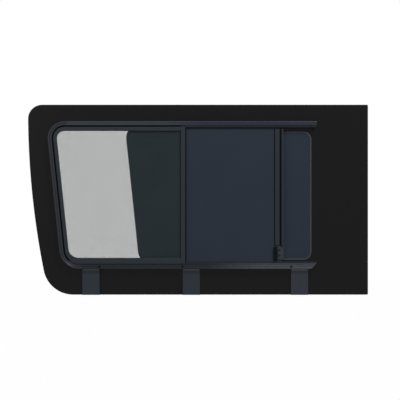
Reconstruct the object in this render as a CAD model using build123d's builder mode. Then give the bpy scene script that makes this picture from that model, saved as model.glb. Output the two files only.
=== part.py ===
from build123d import *
import os
from math import cos, radians, tan

# Sliding side window of a van, in millimetres. X runs along the van, Y points outside, Z is up.
# The origin is on the face that is bonded to the body, in the middle of the upper strip.
# Depths are measured from that face towards the inside of the van.

# Fixed pane
pane_width = 1156.0
pane_height = 646.0
pane_thickness = 5.0
pane_lean = 71.0
pane_bow_radius = 2760.0
pane_top_radius = 48.0
pane_bottom_radius = 102.0
pane_rear_radius = 4.0
pane_arris = 0.8

# Black print on the inner face
print_thickness = 0.4
print_margin = 1.0
band_width = 40.0
band_end_gap = 2.0

# Bay that the track runs round
track_top_inset = 57.1
track_bottom_inset = 88.4
track_front_inset = 62.4
track_rear_inset = 175.6
track_lean = 6.0
bay_top_radius = 57.0
bay_bottom_radius = 67.0
bend_tail = 8.0

# Track section
bond_thickness = 1.5
bond_side_gap = 3.0
base_width = 24.5
base_thickness = 2.0
web_thickness = 2.5
flange_width = 20.0
flange_thickness = 1.5
screen_groove = 4.5
lip_width = 14.0
lip_thickness = 2.6
lip_nose_radius = 2.2
lip_edge_radius = 1.1
valley_width = 3.0
valley_depth = 1.1
top_end_bevel = 9.0
bottom_end_bevel = 20.0

# Run channel and sash
fit_gap = 0.2
run_wall = 2.2
run_floor = 2.4
run_tip_bevel = 0.8
run_clearance = 0.6
sash_thickness = 4.0
sash_edge_gap = 0.3
sash_overlap = 68.0
sash_arris = 0.7
open_share = 0.5691

# Opening, its seal and the insect screen
seal_width = 4.5
seal_foot = 2.4
seal_lip = 2.2
seal_gap = 0.5
aperture_cover = 0.8
screen_band = 11.3
screen_head = 3.0
screen_sill = 7.5
screen_edge_radius = 1.5
net_thickness = 0.4
net_clearance = 6.5
net_tuck = 3.0
net_slot_gap = 0.1
net_columns = 10
net_rows = 11
net_strand = 3.0
tongue_reach = 13.0
tongue_thickness = 1.4
tongue_gap = 0.3
vent_share = 0.498
mullion_width = 15.4
wiper_width = 23.0
wiper_gap = 0.4
wiper_end_gap = 1.0
view_front_gap = 26.0
view_rear_gap = 19.5
view_top_inset = 36.3
view_bottom_inset = 31.4
view_radius = 26.0

# Pull strip and catch
strip_width = 27.5
strip_band = 15.0
strip_wall = 1.1
strip_leg = 2.0
strip_cap = 3.8
strip_rib = 6.1
strip_height = 6.4
band_height = 3.2
strip_end_gap = 1.5
strip_foot_gap = 4.0
strip_edge_radius = 1.0
glass_grip = 10.0
plate_tail = 1.6
plate_height = 44.5
plate_thickness = 2.6
plate_radius = 1.4
plate_floor_gap = 7.3
bolt_width = 12.0
bolt_height = 46.5
bolt_overhang = 4.1
bolt_depth = 6.8
bolt_drop = 3.4
bolt_radius = 1.2
bolt_nose = 3.0
grip_pitch = 4.0
grip_depth = 0.8
grip_count = 5
dovetail_width = 6.0
dovetail_flare = 1.0
dovetail_depth = 1.4

# Rail ends and drains
plug_length = 20.0
plug_nose_radius = 1.8
duct_front_inset = 100.0
duct_middle_offset = 28.0
duct_rear_inset = 57.9
duct_width = 59.0
duct_depth = 10.0
duct_wall = 2.0
duct_edge_radius = 1.6
hood_depth = 13.5
hood_height = 5.0
hood_slope = 12.0
drain_length = 32.0
drain_width = 4.6
weep_width = 6.0
weep_height = 8.0

# Levels and depths that follow from the sizes above
pane_top = print_margin + band_width / 2
pane_bottom = pane_top - pane_height
pane_front = -pane_width / 2
pane_rear = pane_width / 2
track_top = pane_top - track_top_inset
track_bottom = pane_bottom + track_bottom_inset
track_front = pane_front + track_front_inset
track_end = pane_rear - track_rear_inset
lean_slope = tan(radians(track_lean))
lean_cosine = cos(radians(track_lean))

base_front = bond_thickness + base_thickness
run_back = base_front + fit_gap
slot_back = run_back + run_wall
sash_back = slot_back + run_clearance
sash_front = sash_back + sash_thickness
slot_front = sash_front + run_clearance
run_front = slot_front + run_wall
flange_back = run_front + fit_gap
flange_front = flange_back + flange_thickness
lip_back = flange_front + screen_groove
lip_front = lip_back + lip_thickness
screen_back = flange_front + fit_gap
wiper_back = sash_front + wiper_gap
net_back = sash_front + net_clearance

run_outer = web_thickness + fit_gap
slot_floor = run_outer + run_floor
sash_inset = slot_floor + sash_edge_gap
seal_outer = base_width + fit_gap
seal_inner = seal_outer + seal_width
aperture_inset = seal_inner + fit_gap
screen_inner = aperture_inset + aperture_cover
screen_outer = screen_inner - screen_band
vent_width = vent_share * (track_end - track_front)
mullion_front = track_front + vent_width
mullion_rear = mullion_front + mullion_width
mullion_centre = (mullion_front + mullion_rear) / 2
aperture_rear = mullion_centre - seal_width / 2 - fit_gap
sash_rear = mullion_rear + sash_overlap
sash_opening = open_share * vent_width
rest_rear = sash_rear + sash_opening

os.makedirs("parts", exist_ok=True)


def front_side(level, inset):
    """X of the leaning front side of the bay at a height, moved into the bay by an inset."""
    return track_front + (track_top - level) * lean_slope + inset / lean_cosine


def bay(inset, rear, head=0, sill=0):
    """Outline of the bay moved in by an inset, closed by an upright rear side.

    head and sill move its upper and lower sides further in.
    """
    upper = track_top - inset - head
    lower = track_bottom + inset + sill
    with BuildSketch() as outline:
        with BuildLine():
            FilletPolyline(
                (rear, upper),
                (front_side(upper, inset), upper),
                (front_side(lower, inset), lower),
                (rear, lower),
                radius=[0, bay_top_radius - inset, bay_bottom_radius - inset, 0],
                close=True,
            )
        make_face()
    return outline.sketch


def pane(inset):
    """Outline of the fixed pane moved in by an inset."""
    foot = pane_front + pane_lean
    with BuildSketch() as outline:
        with BuildLine():
            Polyline(
                (foot, pane_bottom),
                (pane_rear, pane_bottom),
                (pane_rear, pane_top),
                (pane_front, pane_top),
            )
            RadiusArc((pane_front, pane_top), (foot, pane_bottom), -pane_bow_radius)
        make_face()
        fillet(outline.vertices().group_by(Axis.X)[-1], pane_rear_radius)
        fillet(outline.vertices().group_by(Axis.Y)[-1].sort_by(Axis.X)[0], pane_top_radius)
        fillet(outline.vertices().group_by(Axis.Y)[0].sort_by(Axis.X)[0], pane_bottom_radius)
        if inset > 0:
            offset(amount=-inset, kind=Kind.INTERSECTION, mode=Mode.REPLACE)
    return outline.sketch


def track_section():
    """Two-groove track section: across the rail from its outer edge, and minus the depth."""
    with BuildSketch() as section:
        with BuildLine():
            Polyline(
                (0, -bond_thickness),
                (base_width, -bond_thickness),
                (base_width, -base_front),
                (web_thickness, -base_front),
                (web_thickness, -flange_back),
                (flange_width, -flange_back),
                (flange_width, -flange_front),
                (web_thickness, -flange_front),
                (web_thickness, -lip_back),
                (lip_width, -lip_back),
                (lip_width, -lip_front),
                (lip_width / 2 + valley_width / 2, -lip_front),
                (lip_width / 2, valley_depth - lip_front),
                (lip_width / 2 - valley_width / 2, -lip_front),
                (0, -lip_front),
                close=True,
            )
        make_face()
        fillet(section.vertices().group_by(Axis.Y)[0].sort_by(Axis.X)[0], lip_nose_radius)
        fillet(section.vertices().group_by(Axis.Y)[0].sort_by(Axis.X)[-1], lip_edge_radius)
    return section.sketch


def run_section():
    """Rubber run channel that lines the rear groove of the track."""
    with BuildSketch() as section:
        with BuildLine():
            Polyline(
                (run_outer, -run_back),
                (base_width, -run_back),
                (base_width, -slot_back),
                (slot_floor, -slot_back),
                (slot_floor, -slot_front),
                (base_width, -slot_front),
                (base_width, -run_front),
                (run_outer, -run_front),
                close=True,
            )
        make_face()
        chamfer(section.vertices().group_by(Axis.X)[-1], run_tip_bevel)
    return section.sketch


def bend_path():
    """Outer edge of the track round its two front bends, with a short straight tail at both ends."""
    with BuildLine() as path:
        FilletPolyline(
            (top_joint, 0, track_top),
            (front_side(track_top, 0), 0, track_top),
            (front_side(track_bottom, 0), 0, track_bottom),
            (bottom_joint, 0, track_bottom),
            radius=[bay_top_radius, bay_bottom_radius],
        )
    return path.line


def keep(piece, name):
    """Labels a finished piece and writes it."""
    piece.part.label = name
    export_step(piece.part, f"parts/{name}.step")


top_joint = front_side(track_top, 0) + bay_top_radius * tan(radians(45 + track_lean / 2)) + bend_tail
bottom_joint = front_side(track_bottom, 0) + bay_bottom_radius * tan(radians(45 - track_lean / 2)) + bend_tail
top_rail_end = Plane(origin=(top_joint, 0, track_top), x_dir=(0, 0, -1), z_dir=(1, 0, 0))
bottom_rail_end = Plane(origin=(bottom_joint, 0, track_bottom), x_dir=(0, 0, 1), z_dir=(-1, 0, 0))
track_shape = track_section()
run_shape = run_section()
top_bevel = [
    (track_end, track_top - base_width),
    (track_end, track_top - base_width + top_end_bevel),
    (track_end - top_end_bevel, track_top - base_width),
]
bottom_bevel = [
    (track_end, track_bottom),
    (track_end, track_bottom + bottom_end_bevel),
    (track_end - bottom_end_bevel, track_bottom),
]
duct_front = front_side(track_bottom, 0) + duct_front_inset
duct_middle = mullion_centre + duct_middle_offset
duct_rear = track_end - duct_rear_inset
drains = [(duct_front, track_bottom), (duct_middle, track_bottom), (duct_rear, track_bottom)]
weep_level = track_bottom + (web_thickness + lip_width) / 2
weeps = [
    (duct_front + duct_width / 2, weep_level),
    (duct_middle - duct_width / 2, weep_level),
    (duct_rear - duct_width / 2, weep_level),
]

# Fixed pane with the vent aperture
with BuildPart() as outer_glass:
    with BuildSketch(Plane.XZ.offset(-print_thickness - pane_thickness)):
        add(pane(0))
        add(bay(aperture_inset, aperture_rear), mode=Mode.SUBTRACT)
    extrude(amount=pane_thickness)
    rims = outer_glass.faces().filter_by(Axis.Y).edges()
    chamfer(rims, pane_arris)
keep(outer_glass, "outer_glass")

# Print: the bonding band round the edge, open between the drains, and the mask inside it
band_front = duct_front - duct_width / 2 - band_end_gap
band_rear = duct_rear + duct_width / 2 + band_end_gap
band_outline = pane(print_margin)
mask_outline = pane(print_margin + band_width)
with BuildPart() as bonding_band:
    with BuildSketch(Plane.XZ.offset(-print_thickness)):
        add(band_outline)
        add(mask_outline, mode=Mode.SUBTRACT)
        with Locations(((band_front + band_rear) / 2, pane_bottom)):
            Rectangle(band_rear - band_front, 4 * band_width, mode=Mode.SUBTRACT)
    extrude(amount=print_thickness)
keep(bonding_band, "bonding_band")

view_front = mullion_rear + view_front_gap
view_rear = track_end - view_rear_gap
view_top = track_top - view_top_inset
view_bottom = track_bottom + view_bottom_inset
with BuildPart() as printed_mask:
    with BuildSketch(Plane.XZ.offset(-print_thickness)):
        with Locations(((band_front + band_rear) / 2, pane_bottom)):
            Rectangle(band_rear - band_front, 4 * band_width)
        add(mask_outline)
        add(band_outline, mode=Mode.INTERSECT)
        add(bay(aperture_inset - print_margin, aperture_rear + print_margin), mode=Mode.SUBTRACT)
        with Locations(((view_front + view_rear) / 2, (view_top + view_bottom) / 2)):
            RectangleRounded(view_rear - view_front, view_top - view_bottom, view_radius, mode=Mode.SUBTRACT)
    extrude(amount=print_thickness)
keep(printed_mask, "printed_mask")

# Track: two straight rails and the bent front upright, all of one section
with BuildPart() as top_rail:
    with BuildSketch(top_rail_end):
        add(track_shape)
    extrude(amount=track_end - top_joint)
    with BuildSketch(Plane.XZ):
        with BuildLine():
            Polyline(top_bevel, close=True)
        make_face()
    extrude(amount=lip_front, mode=Mode.SUBTRACT)
keep(top_rail, "top_rail")

with BuildPart() as bottom_rail:
    with BuildSketch(bottom_rail_end):
        add(track_shape)
    extrude(amount=bottom_joint - track_end)
    with BuildSketch(Plane.XZ):
        with BuildLine():
            Polyline(bottom_bevel, close=True)
        make_face()
    extrude(amount=lip_front, mode=Mode.SUBTRACT)
    with BuildSketch(Plane.XZ.offset((slot_back + slot_front - drain_width) / 2)):
        with Locations(drains):
            Rectangle(drain_length, 2 * web_thickness)
    extrude(amount=drain_width, mode=Mode.SUBTRACT)
    with BuildSketch(Plane.XZ.offset(lip_back)):
        with Locations(weeps):
            Rectangle(weep_width, weep_height)
    extrude(amount=lip_thickness, mode=Mode.SUBTRACT)
keep(bottom_rail, "bottom_rail")

with BuildPart() as front_upright:
    with BuildSketch(top_rail_end):
        add(track_shape)
    sweep(path=bend_path())
keep(front_upright, "front_upright")

with BuildPart() as track_bond:
    with BuildSketch(Plane.XZ):
        add(bay(bond_side_gap, track_end - bottom_end_bevel))
        add(bay(base_width - bond_side_gap, track_end - bottom_end_bevel), mode=Mode.SUBTRACT)
    extrude(amount=bond_thickness)
keep(track_bond, "track_bond")

# Run channel in the rear groove
with BuildPart() as top_run_channel:
    with BuildSketch(top_rail_end):
        add(run_shape)
    extrude(amount=track_end - top_joint)
    with BuildSketch(Plane.XZ):
        with BuildLine():
            Polyline(top_bevel, close=True)
        make_face()
    extrude(amount=lip_front, mode=Mode.SUBTRACT)
keep(top_run_channel, "top_run_channel")

with BuildPart() as bottom_run_channel:
    with BuildSketch(bottom_rail_end):
        add(run_shape)
    extrude(amount=bottom_joint - track_end)
    with BuildSketch(Plane.XZ):
        with BuildLine():
            Polyline(bottom_bevel, close=True)
        make_face()
    extrude(amount=lip_front, mode=Mode.SUBTRACT)
    with BuildSketch(Plane.XZ.offset((slot_back + slot_front - drain_width) / 2)):
        with Locations(drains):
            Rectangle(drain_length, 4 * run_outer)
    extrude(amount=drain_width, mode=Mode.SUBTRACT)
keep(bottom_run_channel, "bottom_run_channel")

with BuildPart() as front_run_channel:
    with BuildSketch(top_rail_end):
        add(run_shape)
    sweep(path=bend_path())
keep(front_run_channel, "front_run_channel")

# End plugs that stop the sash
plug_top = track_top - slot_floor - fit_gap
plug_bottom = track_bottom + slot_floor + fit_gap
plug_height = base_width - slot_floor - fit_gap
with BuildPart() as top_end_plug:
    with BuildSketch(Plane.XZ.offset(slot_back + fit_gap)):
        with Locations((track_end - plug_length, plug_top)):
            Rectangle(plug_length, plug_height, align=(Align.MIN, Align.MAX))
        with BuildLine():
            Polyline(top_bevel, close=True)
        make_face(mode=Mode.SUBTRACT)
    extrude(amount=slot_front - slot_back - 2 * fit_gap)
    fillet(top_end_plug.faces().sort_by(Axis.X)[0].edges().filter_by(Axis.Z), plug_nose_radius)
keep(top_end_plug, "top_end_plug")

with BuildPart() as bottom_end_plug:
    with BuildSketch(Plane.XZ.offset(slot_back + fit_gap)):
        with Locations((track_end - plug_length, plug_bottom)):
            Rectangle(plug_length, plug_height, align=(Align.MIN, Align.MIN))
        with BuildLine():
            Polyline(bottom_bevel, close=True)
        make_face(mode=Mode.SUBTRACT)
    extrude(amount=slot_front - slot_back - 2 * fit_gap)
    fillet(bottom_end_plug.faces().sort_by(Axis.X)[0].edges().filter_by(Axis.Z), plug_nose_radius)
keep(bottom_end_plug, "bottom_end_plug")

# Rubber seal round the aperture, between the pane and the sash
with BuildPart() as aperture_seal:
    with BuildSketch(Plane.XZ):
        add(bay(seal_outer, aperture_rear + fit_gap + seal_width))
        add(bay(seal_inner, aperture_rear + fit_gap), mode=Mode.SUBTRACT)
    extrude(amount=seal_foot)
    with BuildSketch(Plane.XZ.offset(seal_foot)):
        add(bay(seal_inner - seal_lip, aperture_rear + fit_gap + seal_lip))
        add(bay(seal_inner, aperture_rear + fit_gap), mode=Mode.SUBTRACT)
    extrude(amount=sash_back - seal_gap - seal_foot)
keep(aperture_seal, "aperture_seal")

# Insect screen: bent frame with a tongue in the front groove, mullion and net
tongue_outer = screen_outer - tongue_reach
tongue_back = flange_front + tongue_gap
tongue_centre = screen_outer - tongue_reach / 2
net_inset = screen_inner - net_tuck
side_level = (track_top + track_bottom) / 2
with BuildPart() as screen_frame:
    with BuildSketch(Plane.XZ.offset(screen_back)):
        add(bay(screen_outer, mullion_front))
        add(bay(screen_inner, mullion_front, screen_head, screen_sill), mode=Mode.SUBTRACT)
    extrude(amount=lip_front - screen_back)
    front_rims = screen_frame.faces().sort_by(Axis.Y)[0].edges()
    bent_rims = front_rims.filter_by_position(Axis.X, track_front, mullion_front - screen_edge_radius)
    fillet(bent_rims, screen_edge_radius)
    with BuildSketch(Plane.XZ.offset(tongue_back)):
        add(bay(tongue_outer, mullion_front))
        add(bay(screen_outer + tongue_thickness, mullion_front), mode=Mode.SUBTRACT)
    extrude(amount=tongue_thickness)
    with BuildSketch(Plane.XZ.offset(net_back - net_slot_gap)):
        add(bay(net_inset - net_slot_gap, mullion_front, screen_head, screen_sill))
    extrude(amount=net_thickness + 2 * net_slot_gap, mode=Mode.SUBTRACT)
keep(screen_frame, "screen_frame")

with BuildPart() as mullion:
    with BuildSketch(Plane.XZ.offset(screen_back)):
        with Locations((mullion_centre, side_level)):
            Rectangle(mullion_width, track_top - track_bottom - 2 * screen_outer)
    extrude(amount=lip_front - screen_back)
    fillet(mullion.faces().sort_by(Axis.Y)[0].edges().filter_by(Axis.Z), screen_edge_radius)
    with BuildSketch(Plane.XZ.offset(tongue_back)):
        with Locations(
            (mullion_centre, track_top - tongue_centre),
            (mullion_centre, track_bottom + tongue_centre),
        ):
            Rectangle(mullion_width, tongue_reach)
    extrude(amount=tongue_thickness)
    with BuildSketch(Plane.XZ.offset(net_back - net_slot_gap)):
        add(bay(net_inset - net_slot_gap, mullion_front + net_tuck + net_slot_gap, screen_head, screen_sill))
    extrude(amount=net_thickness + 2 * net_slot_gap, mode=Mode.SUBTRACT)
keep(mullion, "mullion")

net_top = track_top - screen_inner - screen_head
net_bottom = track_bottom + screen_inner + screen_sill
row_pitch = (net_top - net_bottom) / net_rows
with BuildSketch() as net_openings:
    add(bay(screen_inner, mullion_front, screen_head, screen_sill))
    with Locations((mullion_front, (net_top + net_bottom) / 2)):
        with GridLocations(0, row_pitch, 1, net_rows - 1):
            Rectangle(2 * vent_width, net_strand, mode=Mode.SUBTRACT)
    for column in range(1, net_columns):
        share = column / net_columns
        head_x = front_side(track_top, screen_inner) * (1 - share) + mullion_front * share
        foot_x = front_side(track_bottom, screen_inner) * (1 - share) + mullion_front * share
        with BuildLine():
            Polyline(
                (head_x - net_strand / 2, track_top),
                (head_x + net_strand / 2, track_top),
                (foot_x + net_strand / 2, track_bottom),
                (foot_x - net_strand / 2, track_bottom),
                close=True,
            )
        make_face(mode=Mode.SUBTRACT)
with BuildPart() as insect_net:
    with BuildSketch(Plane.XZ.offset(net_back)):
        add(bay(net_inset, mullion_front + net_tuck, screen_head, screen_sill))
        add(net_openings.sketch, mode=Mode.SUBTRACT)
    extrude(amount=net_thickness)
keep(insect_net, "insect_net")

with BuildPart() as mullion_wiper:
    with BuildSketch(Plane.XZ.offset(wiper_back)):
        with Locations((mullion_centre, side_level)):
            Rectangle(wiper_width, track_top - track_bottom - 2 * (base_width + wiper_end_gap))
    extrude(amount=screen_back - wiper_back)
keep(mullion_wiper, "mullion_wiper")

# Drain ducts from the bottom rail to the lower edge of the pane
slope_foot = track_bottom - hood_height - hood_slope
for name, centre in (("front", duct_front), ("middle", duct_middle), ("rear", duct_rear)):
    with BuildPart() as drain_duct:
        with BuildSketch(Plane.YZ.offset(centre)):
            with BuildLine():
                Polyline(
                    (0, track_bottom - fit_gap),
                    (-hood_depth, track_bottom - fit_gap),
                    (-hood_depth, track_bottom - hood_height),
                    (-duct_depth, slope_foot),
                    (-duct_depth, pane_bottom),
                    (0, pane_bottom),
                    close=True,
                )
            make_face()
        extrude(amount=duct_width / 2, both=True)
        cheeks = drain_duct.faces().filter_by(Axis.X).edges()
        front_edges = cheeks.filter_by_position(Axis.Y, -hood_depth - fit_gap, fit_gap - duct_depth)
        fillet(front_edges, duct_edge_radius)
        with BuildSketch(Plane.YZ.offset(centre)):
            with BuildLine():
                Polyline(
                    (0, track_bottom),
                    (duct_wall - hood_depth, track_bottom),
                    (duct_wall - hood_depth, track_bottom - hood_height),
                    (duct_wall - duct_depth, slope_foot),
                    (duct_wall - duct_depth, pane_bottom),
                    (0, pane_bottom),
                    close=True,
                )
            make_face()
        extrude(amount=duct_width / 2 - duct_wall, both=True, mode=Mode.SUBTRACT)
    keep(drain_duct, f"drain_duct_{name}")

# Sliding sash, drawn closed and moved to where it stands part open
sash_plane = Plane(origin=(sash_opening, 0, 0), x_dir=(1, 0, 0), z_dir=(0, -1, 0))
with BuildPart() as sliding_glass:
    with BuildSketch(sash_plane.offset(sash_back)):
        add(bay(sash_inset, sash_rear))
    extrude(amount=sash_thickness)
    chamfer(sliding_glass.faces().filter_by(Axis.Y).edges(), sash_arris)
keep(sliding_glass, "sliding_glass")

plate_bottom = track_bottom + base_width + plate_floor_gap
plate_top = plate_bottom + plate_height
strip_bottom = plate_top + strip_foot_gap
strip_top = track_top - base_width - strip_end_gap
strip_back = sash_back - fit_gap - strip_wall
leg_back = sash_front + fit_gap
leg_front = leg_back + strip_leg
with BuildPart() as pull_strip:
    with BuildSketch(Plane(origin=(rest_rear, 0, strip_bottom), x_dir=(1, 0, 0), z_dir=(0, 0, 1))) as strip:
        with BuildLine():
            Polyline(
                (-glass_grip, -strip_back),
                (strip_cap, -strip_back),
                (strip_cap, -leg_front - strip_height),
                (strip_cap - strip_rib, -leg_front - strip_height),
                (strip_cap - strip_rib, -leg_front),
                (strip_cap - strip_width + strip_band, -leg_front),
                (strip_cap - strip_width + strip_band, -leg_front - band_height),
                (strip_cap - strip_width, -leg_front - band_height),
                (strip_cap - strip_width, -leg_back),
                (fit_gap, -leg_back),
                (fit_gap, fit_gap - sash_back),
                (-glass_grip, fit_gap - sash_back),
                close=True,
            )
        make_face()
        fillet(strip.vertices().group_by(Axis.Y)[1], strip_edge_radius)
        fillet(strip.vertices().group_by(Axis.Y)[0], strip_edge_radius)
    extrude(amount=strip_top - strip_bottom)
keep(pull_strip, "pull_strip")

plate_front = leg_back + plate_thickness
bolt_left = strip_cap - strip_width - bolt_overhang
bolt_centre = bolt_left + bolt_width / 2
with BuildPart() as catch_plate:
    with BuildSketch(Plane(origin=(rest_rear, 0, plate_bottom), x_dir=(1, 0, 0), z_dir=(0, 0, 1))):
        with BuildLine():
            Polyline(
                (-glass_grip, -strip_back),
                (strip_cap, -strip_back),
                (strip_cap, -leg_back),
                (strip_cap + plate_tail, -leg_back),
                (strip_cap + plate_tail, -plate_front),
                (bolt_left, -plate_front),
                (bolt_left, -leg_back),
                (fit_gap, -leg_back),
                (fit_gap, fit_gap - sash_back),
                (-glass_grip, fit_gap - sash_back),
                close=True,
            )
        make_face()
        with BuildLine():
            Polyline(
                (bolt_centre - dovetail_width / 2, -plate_front),
                (bolt_centre + dovetail_width / 2, -plate_front),
                (bolt_centre + dovetail_width / 2 + dovetail_flare, dovetail_depth - plate_front),
                (bolt_centre - dovetail_width / 2 - dovetail_flare, dovetail_depth - plate_front),
                close=True,
            )
        make_face(mode=Mode.SUBTRACT)
    extrude(amount=plate_height)
    fillet(catch_plate.faces().sort_by(Axis.X)[-1].edges().filter_by(Axis.Y), plate_radius)
keep(catch_plate, "catch_plate")

bolt_bottom = plate_bottom - bolt_drop
bolt_back = plate_front + fit_gap
bolt_front = bolt_back + bolt_depth
bolt_plane = Plane(origin=(rest_rear + bolt_centre, 0, bolt_bottom), x_dir=(1, 0, 0), z_dir=(0, 0, 1))
with BuildPart() as catch_bolt:
    with BuildSketch(Plane.YZ.offset(rest_rear + bolt_centre)):
        with BuildLine():
            Polyline(
                (-bolt_back, bolt_bottom),
                (bolt_nose - bolt_front, bolt_bottom),
                (-bolt_front, bolt_bottom + bolt_nose),
                (-bolt_front, bolt_bottom + bolt_height),
                (-bolt_back, bolt_bottom + bolt_height),
                close=True,
            )
        make_face()
    extrude(amount=bolt_width / 2, both=True)
    fillet(catch_bolt.edges().filter_by(Axis.Z).group_by(Axis.Y)[0], bolt_radius)
    with BuildSketch(Plane.YZ.offset(rest_rear + bolt_centre - bolt_width)):
        with Locations((-bolt_front, bolt_bottom + bolt_height / 2)):
            with GridLocations(0, grip_pitch, 1, grip_count):
                Rectangle(2 * grip_depth, grip_pitch / 2)
    extrude(amount=2 * bolt_width, mode=Mode.SUBTRACT)
    with BuildSketch(bolt_plane.offset(bolt_drop)):
        with BuildLine():
            Polyline(
                (dovetail_width / -2 + fit_gap, -bolt_back),
                (dovetail_width / 2 - fit_gap, -bolt_back),
                (dovetail_width / 2 - fit_gap, -plate_front),
                (dovetail_width / 2 + dovetail_flare - 2 * fit_gap, dovetail_depth - fit_gap - plate_front),
                (dovetail_width / -2 - dovetail_flare + 2 * fit_gap, dovetail_depth - fit_gap - plate_front),
                (dovetail_width / -2 + fit_gap, -plate_front),
                close=True,
            )
        make_face()
    extrude(amount=bolt_height - bolt_drop)
keep(catch_bolt, "catch_bolt")
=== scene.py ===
import logging
import math
from dataclasses import dataclass, field, replace
from enum import Enum
from functools import cache
from typing import Any

import bmesh
import bpy
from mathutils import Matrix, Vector


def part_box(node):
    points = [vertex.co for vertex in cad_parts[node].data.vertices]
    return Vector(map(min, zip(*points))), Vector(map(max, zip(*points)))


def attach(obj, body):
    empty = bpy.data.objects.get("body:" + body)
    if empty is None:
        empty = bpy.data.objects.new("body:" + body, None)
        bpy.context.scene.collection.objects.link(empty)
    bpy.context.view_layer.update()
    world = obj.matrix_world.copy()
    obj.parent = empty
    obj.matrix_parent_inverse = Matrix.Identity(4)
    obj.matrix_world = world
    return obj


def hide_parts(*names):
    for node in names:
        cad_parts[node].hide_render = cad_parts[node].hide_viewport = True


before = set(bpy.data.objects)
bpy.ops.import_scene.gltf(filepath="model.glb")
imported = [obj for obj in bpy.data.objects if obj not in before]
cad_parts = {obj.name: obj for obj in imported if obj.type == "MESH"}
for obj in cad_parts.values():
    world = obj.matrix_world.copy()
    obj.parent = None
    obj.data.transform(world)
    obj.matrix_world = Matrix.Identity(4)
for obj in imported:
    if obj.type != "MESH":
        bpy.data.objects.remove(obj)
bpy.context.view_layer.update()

MM = 0.001
LOG = logging.getLogger("van_window")

Colour = tuple[float, float, float]
Solid = tuple[float, float, float, float]
Point = tuple[float, float, float]
Place = tuple[float, float]
Face = tuple[int, ...]
Mesh = tuple[list[Point], list[Face]]

EVEN: Point = (1.0, 1.0, 1.0)
WHITE: Solid = (1.0, 1.0, 1.0, 1.0)
NOISE_MEAN = 0.5
OCTAVE_SHARE = 0.55  # strength of each finer octave of noise
MITRE_LIMIT = 0.3  # keeps the mitre of a sharp corner short
SCATTER = (12.9898, 78.233, 43758.5453)  # turns two whole numbers into one that looks random


class Value:
    """A number socket of a node tree; sums and products of it add Math nodes."""

    def __init__(self, graph: "Graph", socket: bpy.types.NodeSocket) -> None:
        """Wraps one output socket of a graph."""
        self.graph = graph
        self.socket = socket

    def _math(self, operation: str, left: "Value | float", right: "Value | float") -> "Value":
        """Adds one Math node and returns its result."""
        return self.graph.value("ShaderNodeMath", {"operation": operation}, {0: left, 1: right})

    def __add__(self, other: "Value | float") -> "Value":
        """self + other."""
        return self._math("ADD", self, other)

    __radd__ = __add__

    def __sub__(self, other: "Value | float") -> "Value":
        """self - other."""
        return self._math("SUBTRACT", self, other)

    def __rsub__(self, other: float) -> "Value":
        """other - self."""
        return self._math("SUBTRACT", other, self)

    def __mul__(self, other: "Value | float") -> "Value":
        """self * other."""
        return self._math("MULTIPLY", self, other)

    __rmul__ = __mul__

    def at_most(self, limit: float) -> "Value":
        """The smaller of this value and a limit."""
        return self._math("MINIMUM", self, limit)


def tint(colour: Colour, factor: float) -> Solid:
    """A solid colour made darker or lighter by a factor."""
    return (colour[0] * factor, colour[1] * factor, colour[2] * factor, 1.0)


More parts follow.
